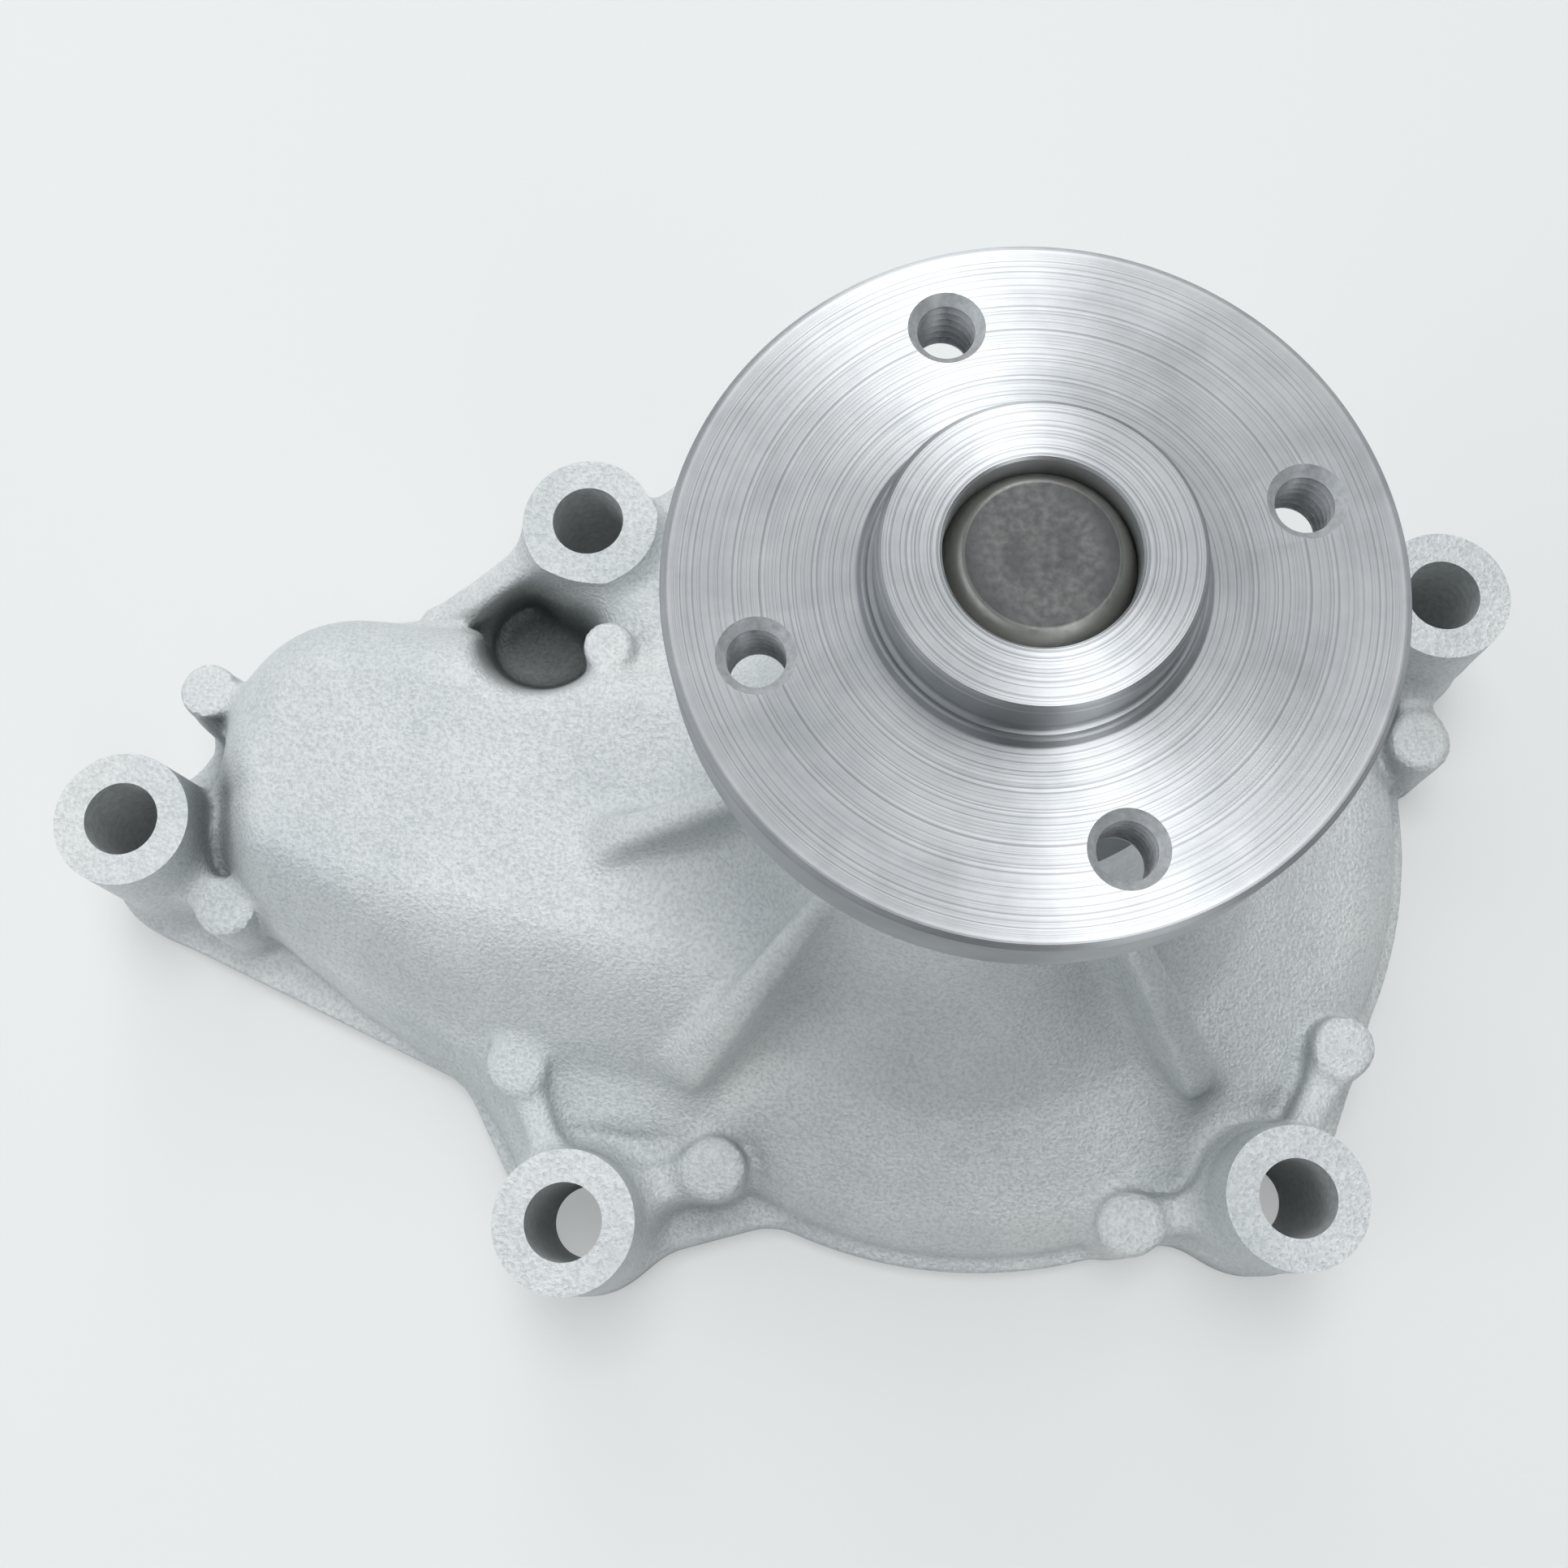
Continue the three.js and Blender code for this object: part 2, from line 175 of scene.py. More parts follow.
def shot_blasted_aluminium():
    """Die-cast aluminium, shot blasted: pale and matt, pebbled by half-millimetre dimples over a
    slow flow of the metal, with painted shade that darkens its recesses, creases and corners."""
    material, tree, shader = finish("shot_blasted_aluminium", "#D6D9D9", 0.4, 0.55)
    where = place(tree)
    cloud = node(tree, "ShaderNodeTexNoise", {"Scale": 0.05, "Detail": 3.0}, {"Vector": where})
    tone = node(tree, "ShaderNodeValToRGB", None, {0: cloud.outputs["Fac"]},
                [(0.3, "#CBCFD0"), (0.55, "#D7DADA"), (0.75, "#DFE1E0")])
    dimple = node(tree, "ShaderNodeTexNoise", {"Scale": 2.1, "Detail": 2.0, "Roughness": 0.55},
                  {"Vector": where}).outputs["Fac"]
    speck = node(tree, "ShaderNodeValToRGB", None, {0: dimple},
                 [(0.3, "#D3D6D7"), (0.6, "#FFFFFF")])
    specked = node(tree, "ShaderNodeMix", {**MULTIPLIED, 0: 0.55},
                   {6: tone.outputs[0], 7: speck.outputs[0]})
    # Painted shade: ambient occlusion within 14 mm darkens the colour in recesses, creases and
    # corners, where shade falls.
    reach = node(tree, "ShaderNodeAmbientOcclusion", {"samples": 4, "Distance": 14 * MM})
    painted_recess_shade = node(tree, "ShaderNodeValToRGB", None, {0: reach.outputs["AO"]},
                [(0.15, "#7A7E7F"), (0.45, "#E2E4E4"), (0.8, "#FFFFFF")])
    recess_shaded_colour = node(tree, "ShaderNodeMix", {**MULTIPLIED, 0: 1.0},
                  {6: specked.outputs[2], 7: painted_recess_shade.outputs[0]})
    swell = node(tree, "ShaderNodeTexNoise", {"Scale": 0.16, "Detail": 2.0}, {"Vector": where})
    flow = node(tree, "ShaderNodeBump", {"Strength": 0.5, "Distance": 0.5 * MM},
                {"Height": swell.outputs["Fac"]})
    dress(tree, shader, recess_shaded_colour.outputs[2], dimple, (0.62, 0.46), 1.0, 0.24,
          under=flow.outputs[0])
    return material


def milled_aluminium():
    """The same casting where a cutter faced it: brighter, with fine milled arcs."""
    material, tree, shader = finish("milled_aluminium", "#C9CCCD", 0.95, 0.34,
                                    Anisotropic=0.5)
    where = place(tree)
    arcs = node(tree, "ShaderNodeTexWave", {
        "wave_type": "RINGS", "rings_direction": "SPHERICAL", "Scale": 0.9, "Distortion": 1.2,
        "Detail": 2.0, "Detail Scale": 1.0}, {"Vector": where})
    cloud = node(tree, "ShaderNodeTexNoise", {"Scale": 0.08, "Detail": 3.0}, {"Vector": where})
    tone = node(tree, "ShaderNodeValToRGB", None, {0: cloud.outputs["Fac"]},
                [(0.3, "#BFC2C3"), (0.7, "#D2D5D6")])
    dress(tree, shader, tone.outputs[0], arcs.outputs["Fac"], None, 0.35, 0.03)
    return material


def turned_steel():
    """Carbon steel faced on a lathe: bright, with tool rings that stretch the highlights. The
    rings are a quarter of a millimetre apart, coarser than real ones so that they show."""
    material, tree, shader = finish("bright_turned_steel", "#C4C6C8", 1.0, 0.36,
                                    **{"Anisotropic": 0.92, "Anisotropic Rotation": 0.25})
    around = node(tree, "ShaderNodeTangent", {"direction_type": "RADIAL", "axis": "Z"})
    tree.links.new(around.outputs[0], shader.inputs["Tangent"])
    where = place(tree)
    turns = node(tree, "ShaderNodeMath", {"operation": "MULTIPLY", 1: 4.0},
                 {0: shaft_radius(tree, where)})
    rings = node(tree, "ShaderNodeTexNoise", {"noise_dimensions": "1D", "Scale": 1.0,
                                              "Detail": 3.0, "Roughness": 0.6},
                 {"W": turns.outputs[0]}).outputs["Fac"]
    blotch = node(tree, "ShaderNodeTexNoise", {"Scale": 0.11, "Detail": 4.0, "Roughness": 0.6},
                  {"Vector": where})
    tone = node(tree, "ShaderNodeValToRGB", None, {0: blotch.outputs["Fac"]},
                [(0.3, "#B6B9BB"), (0.52, "#C6C8CA"), (0.72, "#D0D2D3")])
    line = node(tree, "ShaderNodeValToRGB", None, {0: rings},
                [(0.36, "#9EA1A4"), (0.5, "#FFFFFF")])
    mixed = node(tree, "ShaderNodeMix", {**MULTIPLIED, 0: 0.4},
                 {6: tone.outputs[0], 7: line.outputs[0]})
    dress(tree, shader, mixed.outputs[2], rings, (0.42, 0.33), 0.6, 0.025)
    return material


def bearing_steel():
    """Hardened bearing steel, finished by grinding and left oily: a dark grey of low lustre, with a
    painted highlight: the colour pales from 6.1 to 6.5 mm from the axis and stays pale outward,
    over the end chamfer."""
    material, tree, shader = finish("browned_bearing_steel", "#5F5E59", 1.0, 0.4)
    where = place(tree)
    cloud = node(tree, "ShaderNodeTexNoise", {"Scale": 0.35, "Detail": 4.0, "Roughness": 0.65},
                 {"Vector": where})
    tone = node(tree, "ShaderNodeValToRGB", None, {0: cloud.outputs["Fac"]},
                [(0.3, "#5C5C5C"), (0.5, "#636363"), (0.72, "#6A6A69")])
    # Painted highlight: a pale ring over the shaft's end chamfer, from 6.1 mm from the axis
    # outward.
    edge = node(tree, "ShaderNodeMapRange", {"From Min": 6.1, "From Max": 6.5, "To Max": 0.95},
                {0: shaft_radius(tree, where)})
    painted_chamfer_highlight = node(tree, "ShaderNodeMix", {"data_type": "RGBA", 7: srgb("#BCBBB5")},
                  {0: edge.outputs[0], 6: tone.outputs[0]})
    stain = node(tree, "ShaderNodeTexNoise", {"Scale": 1.6, "Detail": 3.0}, {"Vector": where})
    grit = node(tree, "ShaderNodeTexNoise", {"Scale": 3.0, "Detail": 2.0}, {"Vector": where})
    dress(tree, shader, painted_chamfer_highlight.outputs[2], stain.outputs["Fac"], (0.34, 0.5), 0.3, 0.02,
          relief=grit.outputs["Fac"])
    return material


def plain(name, base, dark, metallic, roughness, per_mm, depth_mm):
    """A finish with one grain: colour varies between base and dark at per_mm, with a bump."""
    material, tree, shader = finish(name, base, metallic, roughness)
    grain = node(tree, "ShaderNodeTexNoise", {"Scale": per_mm, "Detail": 3.0, "Roughness": 0.6},
                 {"Vector": place(tree)}).outputs["Fac"]
    tone = node(tree, "ShaderNodeValToRGB", None, {0: grain}, [(0.3, dark), (0.7, base)])
    dress(tree, shader, tone.outputs[0], grain, (roughness - 0.06, roughness + 0.06), 0.4,
          depth_mm)
    return material


FINISHES = {
    "cast_aluminium": shot_blasted_aluminium(),
    "milled_aluminium": milled_aluminium(),
    "turned_steel": turned_steel(),
    "bearing_steel": bearing_steel(),
    # Cut threads: the same steel, torn a little by the tap.
    "tapped_steel": plain("tapped_steel", "#C6C8CA", "#AAADAF", 0.45, 0.38, 1.6, 0.03),
    # Cored and drilled hole walls: dull, lightly scored.
    "drilled_aluminium": plain("drilled_aluminium", "#D2D5D5", "#B4B8B9", 0.25, 0.5, 1.2, 0.05),
    # Polished chrome-steel balls: nearly mirror.
    "ball_steel": plain("polished_chrome_steel", "#D0D1D3", "#C6C7C9", 1.0, 0.12, 0.8, 0.004),
    # Nitrile rubber, moulded matt black.
    "black_rubber": plain("nitrile_rubber", "#1D1D1E", "#141415", 0.0, 0.68, 1.5, 0.04),
    # Glass-filled nylon, moulded green.
    "cage_plastic": plain("glass_filled_nylon", "#315F48", "#284F3C", 0.0, 0.5, 1.2, 0.03),
    # Drawn brass with faint draw lines.
    "seal_brass": plain("drawn_brass", "#B8944F", "#A07E3E", 1.0, 0.33, 0.7, 0.01),
    # Stainless spring wire.
    "spring_steel": plain("stainless_spring_wire", "#B4B8BA", "#A0A4A6", 1.0, 0.26, 1.5, 0.01),
    # Lapped carbon graphite: dark grey with a low sheen.
    "carbon": plain("lapped_carbon_graphite", "#37383A", "#2B2C2E", 0.0, 0.38, 2.0, 0.01),
    # Lapped alumina: off-white, smooth.
    "ceramic": plain("lapped_alumina", "#EDEAE2", "#E2DFD6", 0.0, 0.26, 0.9, 0.006),
    # Grey iron, sand cast: dark with a coarse open grain.
    "cast_iron": plain("sand_cast_iron", "#6A6C6E", "#4C4E50", 0.85, 0.58, 1.1, 0.12),
}


def add(name, data):
    """A new object in the scene."""
    made = bpy.data.objects.new(name, data)
    bpy.context.scene.collection.objects.link(made)
    return made


# ---------------------------------------------------------------- shapes as distances
# A form is an array of signed distances in millimetres on a grid, negative inside. Forms are
# joined and cut with a fillet radius, then skinned with quads.

class Grid:
    """Points in millimetres, step apart, at which the distances are kept."""

    def __init__(self, low, high, step):
        self.low, self.step = np.array(low, float), step
        counts = [int(round((h - l) / step)) + 1 for l, h in zip(low, high)]
        x, y, z = [(l + step * np.arange(n)).astype(np.float32) for l, n in zip(low, counts)]
        self.x, self.y, self.z = x[:, None, None], y[None, :, None], z[None, None, :]


def join(a, b, fillet):
    """Either form, with a fillet where they meet."""
    bend = np.maximum(fillet - np.abs(a - b), 0) / fillet
    return np.minimum(a, b) - bend * bend * fillet / 4


def meet(a, b, fillet):
    """What both forms share, with a rounded edge."""
    bend = np.maximum(fillet - np.abs(a - b), 0) / fillet
    return np.maximum(a, b) + bend * bend * fillet / 4


def circle(grid, x, y, r):
    """Plan distance to a circle."""
    return np.hypot(grid.x - x, grid.y - y) - r


def stretched(grid, circles):
    """Plan distance to the outline stretched round circles given as (x, y, r)."""
    cloud = [(x + r * math.cos(TURN * i / 48), y + r * math.sin(TURN * i / 48))
             for x, y, r in circles for i in range(48)]

    def half(points):
        chain = []
        for p in points:
            while len(chain) > 1 and (
                    (chain[-1][0] - chain[-2][0]) * (p[1] - chain[-2][1])
                    - (chain[-1][1] - chain[-2][1]) * (p[0] - chain[-2][0])) <= 0:
                chain.pop()
            chain.append(p)
        return chain[:-1]

    cloud = sorted(set(cloud))
    ring = np.array(half(cloud) + half(cloud[::-1]))
    inside = np.full(np.broadcast(grid.x, grid.y).shape, -1e9, np.float32)
    nearest = np.full_like(inside, 1e9)
    for (ax, ay), (bx, by) in zip(ring, np.roll(ring, -1, 0)):
        dx, dy = bx - ax, by - ay
        size = math.hypot(dx, dy)
        if size < 1e-6:
            continue
        side = ((grid.x - ax) * dy - (grid.y - ay) * dx) / size
        along = np.clip(((grid.x - ax) * dx + (grid.y - ay) * dy) / size, 0, size)
        reach = np.hypot(grid.x - ax - along * dx / size, grid.y - ay - along * dy / size)
        inside = np.maximum(inside, side)
        nearest = np.minimum(nearest, reach)
    return np.where(inside < 0, inside, nearest).astype(np.float32)


def raised(grid, plan, top, edge=1.0, draft=0.03):
    """Plan outline raised to a height, with drafted sides and a rounded top edge."""
    return meet(plan + draft * grid.z, grid.z - top, edge)


def pillow(grid, plan, top, foot, width):
    """Outline that swells from foot to top over width, like a domed cover."""
    depth = np.clip(-plan / width, 0, 1)
    height = foot + (top - foot) * np.sqrt(np.maximum(1 - (1 - depth) ** 2, 0))
    slope = (top - foot) / width
    return meet((grid.z - height) / np.sqrt(1 + slope * slope * 0.5), plan, 3.0)


def revolved(grid, x, y, table):
    """Body of revolution whose radius is looked up by height in (z, r) pairs."""
    heights, radii = zip(*table)
    fine = np.arange(heights[0] - 6, heights[-1] + 6, 0.25)
    smooth = np.interp(fine, heights, radii)
    for _ in range(2):
        smooth[4:-4] = np.convolve(smooth, np.ones(9) / 9, "valid")
    radius = np.interp(grid.z, fine, smooth).astype(np.float32)
    slope = np.gradient(radius, grid.step, axis=2)
    return circle(grid, x, y, 0) - radius, np.sqrt(1 + slope * slope)


def turned_body(grid, x, y, table):
    gap, stretch = revolved(grid, x, y, table)
    return gap / stretch


def fin(grid, angle, inner, outer, high, low, width):
    """Radial rib whose top slopes from high at inner to low at outer."""
    c, s = math.cos(angle), math.sin(angle)
    along = grid.x * c + grid.y * s
    across = np.abs(grid.y * c - grid.x * s)
    top = high + (low - high) * np.clip((along - inner) / (outer - inner), -0.3, 1.2)
    fall = (high - low) / (outer - inner)
    side = across - width / 2 + (grid.z - low) * 0.05
    body = meet(side, (grid.z - top) / math.sqrt(1 + fall * fall), 1.6)
    return meet(meet(body, along - outer, 3.0), 6 - along, 1.0)


def skin(name, grid, form, finishes):
    """Quads through the zero level of a form, each point then moved onto it exactly."""
    inner = form < 0
    shape = np.array(form.shape)
    stride = np.array([shape[1] * shape[2], shape[2], 1])
    cells, points, flips = [], [], []
    for axis in range(3):
        lead = [slice(None)] * 3
        tail = [slice(None)] * 3
        lead[axis], tail[axis] = slice(0, -1), slice(1, None)
        at = np.argwhere(inner[tuple(lead)] != inner[tuple(tail)])
        b, c = (axis + 1) % 3, (axis + 2) % 3
        at = at[(at[:, b] > 0) & (at[:, c] > 0)]
        near = form[tuple(at.T)]
        step = np.eye(3, dtype=int)
        far = form[tuple((at + step[axis]).T)]
        where = at.astype(float)
        where[:, axis] += near / (near - far)
        ring = [at, at - step[b], at - step[b] - step[c], at - step[c]]
        cells.append(np.stack([corner @ stride for corner in ring], 1))
        points.append(where)
        flips.append(near < 0)
    cells, points, flips = np.concatenate(cells), np.concatenate(points), np.concatenate(flips)
    keys, faces = np.unique(cells, return_inverse=True)
    faces = faces.reshape(cells.shape)
    flat = faces.ravel()
    total = np.bincount(flat)
    corners = np.stack([np.bincount(flat, np.repeat(points[:, i], 4)) / total
                        for i in range(3)], 1)
    slopes = np.gradient(form)

    def sample(field, spot):
        low = np.clip(np.floor(spot).astype(int), 0, shape - 2)
        part = spot - low
        value = 0
        for i in (0, 1):
            for j in (0, 1):
                for k in (0, 1):
                    weight = (np.abs(1 - i - part[:, 0]) * np.abs(1 - j - part[:, 1])
                              * np.abs(1 - k - part[:, 2]))
                    value = value + weight * field[low[:, 0] + i, low[:, 1] + j, low[:, 2] + k]
        return value

    for _ in range(2):
        slope = np.stack([sample(s, corners) for s in slopes], 1)
        pull = sample(form, corners) / np.maximum((slope ** 2).sum(1), 1e-4)
        move = slope * pull[:, None]
        size = np.linalg.norm(move, axis=1, keepdims=True)
        corners = corners - move * np.minimum(1, 0.4 / np.maximum(size, 1e-9))
    faces = np.where(flips[:, None], faces, faces[:, ::-1])
    mesh = bpy.data.meshes.new(name)
    mesh.vertices.add(len(corners))
    mesh.vertices.foreach_set("co", ((grid.low + corners * grid.step) * MM).ravel())
    mesh.loops.add(faces.size)
    mesh.loops.foreach_set("vertex_index", faces.ravel())
    mesh.polygons.add(len(faces))
    mesh.polygons.foreach_set("loop_start", np.arange(0, faces.size, 4))
    mesh.update(calc_edges=True)
    mesh.validate()
    for finish_name in finishes:
        mesh.materials.append(FINISHES[finish_name])
    return add(name, mesh)


# ---------------------------------------------------------------- shapes on the lathe

def lathe(name, profile, finish_name, segments=96, centre=(0, 0, 0)):
    """Turn (radius, height) pairs about Z; a profile off the axis is closed on itself."""
    shape = bmesh.new()
    rings = []
    for r, z in profile:
        if r < 1e-6:
            rings.append([shape.verts.new((0, 0, z * MM))])
        else:
            rings.append([shape.verts.new((r * math.cos(TURN * i / segments) * MM,
                                           r * math.sin(TURN * i / segments) * MM, z * MM))
                          for i in range(segments)])
    pairs = list(zip(rings, rings[1:]))
    if len(rings[0]) > 1 and len(rings[-1]) > 1:
        pairs.append((rings[-1], rings[0]))
    for low, high in pairs:
        for i in range(segments):
            j = (i + 1) % segments
            corners = [low[i % len(low)], low[j % len(low)], high[j % len(high)],
                       high[i % len(high)]]
            unique = list(dict.fromkeys(corners))
            if len(unique) > 2:
                shape.faces.new(unique)
    bmesh.ops.recalc_face_normals(shape, faces=shape.faces)
    mesh = bpy.data.meshes.new(name)
    shape.transform(Matrix.Translation(Vector(centre) * MM))
    shape.to_mesh(mesh)
    shape.free()
    mesh.materials.append(FINISHES[finish_name])
    return add(name, mesh)


def arc(cx, cz, r, start, end, steps):
    """Points of an arc in the (radius, height) plane, angles in degrees."""
    return [(cx + r * math.cos(math.radians(start + (end - start) * i / steps)),
             cz + r * math.sin(math.radians(start + (end - start) * i / steps)))
            for i in range(steps + 1)]


def machine(piece, tools):
    """Cut the tools away; faces they leave take the tools' finish."""
    for tool in tools:
        cut = piece.modifiers.new("cut", "BOOLEAN")
        cut.operation, cut.solver, cut.object = "DIFFERENCE", "MANIFOLD", tool
        cut.material_mode = "TRANSFER"
    depsgraph = bpy.context.evaluated_depsgraph_get()
    result = bpy.data.meshes.new_from_object(piece.evaluated_get(depsgraph))
    old = piece.data
    piece.modifiers.clear()
    piece.data = result
    result.name = old.name
    bpy.data.meshes.remove(old)
    for tool in tools:
        bpy.data.objects.remove(tool)
    return piece


def soften(piece, angle=34):
    """Smooth shading with crisp edges where faces meet sharply."""
    mesh = piece.data
    mesh.polygons.foreach_set("use_smooth", [True] * len(mesh.polygons))
    mesh.set_sharp_from_angle(angle=math.radians(angle))


def settle(piece, body, slot, *nodes):
    """Shade the piece, and tell the frame what it moves with and stands for; slot, what it is made
    of, is not used.
    """
    if piece.type == "MESH":
        soften(piece)
    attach(piece, body)
    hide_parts(*nodes)


# ---------------------------------------------------------------- the casting

def casting_form(grid):
    """Outside of the casting as it leaves the die."""
    passage = stretched(grid, [PASSAGE, (-101, -6.5, 9), (-70, -16, 13.6), (-62, -22, 11.6),
                               (-40, -2, 20)])
    neck = stretched(grid, [(-58, -24, 9.5), (*LOWER_LEFT, 6.8), (-30, -30, 14)])
    # Low foot round the gasket face, and the webs that carry it out to the bosses.
    form = raised(grid, circle(grid, RIM_X, RIM_Y, RIM_R), FOOT_TOP, 0.7)
    for plan, top, edge in (
            (passage, FOOT_TOP, 0.7), (neck, FOOT_TOP, 0.7),
            (stretched(grid, [(-72, 14, 13.2), (-50, 28, 6.5)]), 8, 1.0),
            (stretched(grid, [(*LOWER_LEFT, 6.2), (-26, -38, 14)]), 5.5, 0.9),
            (stretched(grid, [(*LOWER_RIGHT, 7.5), (36, -26, 17)]), 5.5, 0.9),
            (stretched(grid, [(*LOWER_RIGHT, 7), (18, -38, 14)]), 5.5, 0.9),
            (stretched(grid, [(*RIGHT, 8), (40, 14, 16)]), 5.5, 0.9),
            (stretched(grid, [(*UPPER_LEFT, 7), (-30, 32, 15)]), 8, 1.2)):
        form = join(form, raised(grid, plan, top, edge), 2.0)
    # Volute shell, the bell that carries the hub, and the dome over the outlet passage.
    shell = turned_body(grid, RIM_X, RIM_Y, [(0, 56.3), (6.5, 56.0), (9, 55.2), (11.5, 53.4),
                                             (13.5, 49.5), (14.5, 45), (16, 30), (17, 1)])
    shell = meet(shell, grid.z - 15.5, 2.0)
    bell = turned_body(grid, 0, 0, [(0, 47), (12, 45.5), (14.5, 43), (17.5, 38.5), (20.5, 34.5),
                                    (24, 31.2), (28, 28.6), (33, 26.3), (39, 24.4), (46, 22.8),
                                    (54, 21.6), (64, 21.0), (80, 20.7)])
    sweep = stretched(grid, [PASSAGE, (-94, -3.5, 8.5), (-70, -16, 13.6), (-62, -22, 11.6),
                             (-50, -33, 10), (-27, -22, 22), (-30, 0, 22)])
    low = np.clip((-13 - grid.y - 0.25 * (grid.x + 60)) / 24, 0, 1)
    left = np.clip((-85 - grid.x - 0.5 * np.maximum(grid.y, 0)) / 12, 0, 1)
    crown = CROWN - 13.0 * low * low * (3 - 2 * low) - 12.0 * left * left * (3 - 2 * left)
    dome = pillow(grid, sweep + 2.2, crown, 7.0, 11.5)
    # The dome ends along the rib that runs to the lower left boss.
    dome = meet(dome, 0.713 * grid.x - 0.701 * grid.y - 1.0, 2.5)
    slab = pillow(grid, neck + 2.0, 14.0, 7.0, 6.0)
    upper = join(join(join(shell, bell, 5.0), dome, 7.0), slab, 4.0)
    form = join(form, upper, 1.2)
    # Shoulder and ridge below the upper left boss, round the small pocket.
    shoulder = pillow(grid, stretched(grid, [(-43, 29, 8.5), (-31, 37, 10), (-26, 14, 14)]),
                      24.5, 9.0, 8.0)
    form = join(form, shoulder, 4.0)
    ridge = stretched(grid, [(-52, 33, 2.6), (-68, 25.5, 2.2)])
    rise = 15.5 + 9.5 * np.clip((grid.x + 67) / 15, 0, 1)
    form = join(form, meet(ridge, (grid.z - rise) * 0.85, 2.0), 4.0)
    hollow = np.hypot((grid.x + 53.6 - 0.13 * (grid.z - 16)) / 1.14,
                      grid.y - 22.4 + 0.30 * (grid.z - 16)) - (6.4 + 0.05 * (grid.z - 8))
    form = meet(form, -meet(hollow, POCKET_FLOOR - grid.z, 1.5), 1.5)
    weep = (25 * math.cos(WEEP_ANGLE), 25 * math.sin(WEEP_ANGLE))
    form = join(form, raised(grid, circle(grid, *weep, 6.2), 36.5, 3.0, 0.06), 5.0)
    # Ribs from the hub: angle, inner and outer reach, height at each end, width.
    for angle, inner, outer, high, low, width in (
            (189.5, 25, 45, 43, 29.4, 4.2), (225.5, 25, 49.5, 45, 20.5, 5.0),
            (309, 25, 46.5, 45, 21.5, 5.0), (22, 25, 49, 43, 17, 5.0), (100, 25, 46, 42, 17, 5.0)):
        form = join(form, fin(grid, math.radians(angle), inner, outer, high, low, width), 2.6)
    # Ejector pads: centre, the foot of the neck that ties each to a boss, height.
    tails = (
        ((-91.9, -13.4), (-97.5, -9.5), 17.0), ((-54.3, -32.6), (-50.5, -42), 18.2),
        ((-30.1, -45.2), (-38, -48), 15.5), ((20, -51.6), (28, -50), 13.5),
        ((46.9, -30.3), (42.5, -38.5), 16.0), ((60.4, 8.9), (60.6, 15.5), 14.0))
    for (x, y), (tx, ty), top in tails:
        form = join(form, raised(grid, circle(grid, x, y, 4.0), top + 0.5, 0.6, 0.02), 1.8)
        form = join(form, raised(grid, stretched(grid, [(x, y, 3.0), (tx, ty, 2.7)]),
                                 top, 1.2, 0.05), 2.4)
    # Stub beside the pocket, the pad behind the left boss with its neck, and one low lug.
    form = join(form, raised(grid, circle(grid, -43.7, 18.2, 3.9), 26.6, 0.7), 1.5)
    form = join(form, raised(grid, circle(grid, -95.6, 14.2, 3.9), 20.5, 0.6, 0.015), 3.0)
    form = join(form, raised(grid, stretched(grid, [(-95, 13.8, 3.0), (-84, 10, 3.5)]), 14, 2.0,
                             0.05), 3.5)
    form = join(form, raised(grid, stretched(grid, [(-48.2, -39.4, 1.7), (-38, -38.6, 2.2)]), 14.6,
                             2.5, 0.1), 3.0)
    for x, y in BOSSES:
        boss = raised(grid, circle(grid, x, y, BOSS_R + BOSS_DRAFT * BOSS_TOP), BOSS_CAST_TOP, 0.5)
        form = join(form, boss, 3.4)
    return form


def cavity_form(grid):
    """Cored spaces behind the casting: impeller chamber, throat and passage."""
    chamber = turned_body(grid, RIM_X, RIM_Y, [(-4, 50.6), (4, 50.4), (7, 49.0), (9.2, 46),
                                               (10, 40), (10.4, 1)])
    vault = turned_body(grid, 0, 0, [(-4, 46), (8, 44), (12.5, 38), (17, 31), (18.0, 24),
                                     (18.2, 1)])
    form = join(meet(chamber, grid.z - 10.2, 1.5), meet(vault, grid.z - 18.2, 1.0), 2.0)
    duct = pillow(grid, stretched(grid, [(-77, 7.5, 13.4), (-68, -9, 8.5)]), 22.6, 13.0, 8.0)
    throat = pillow(grid, stretched(grid, [(-69, -3, 12), (-38, -4, 14)]), 20.5, 12.0, 8.0)
    return join(form, join(duct, throat, 3.0), 3.0)


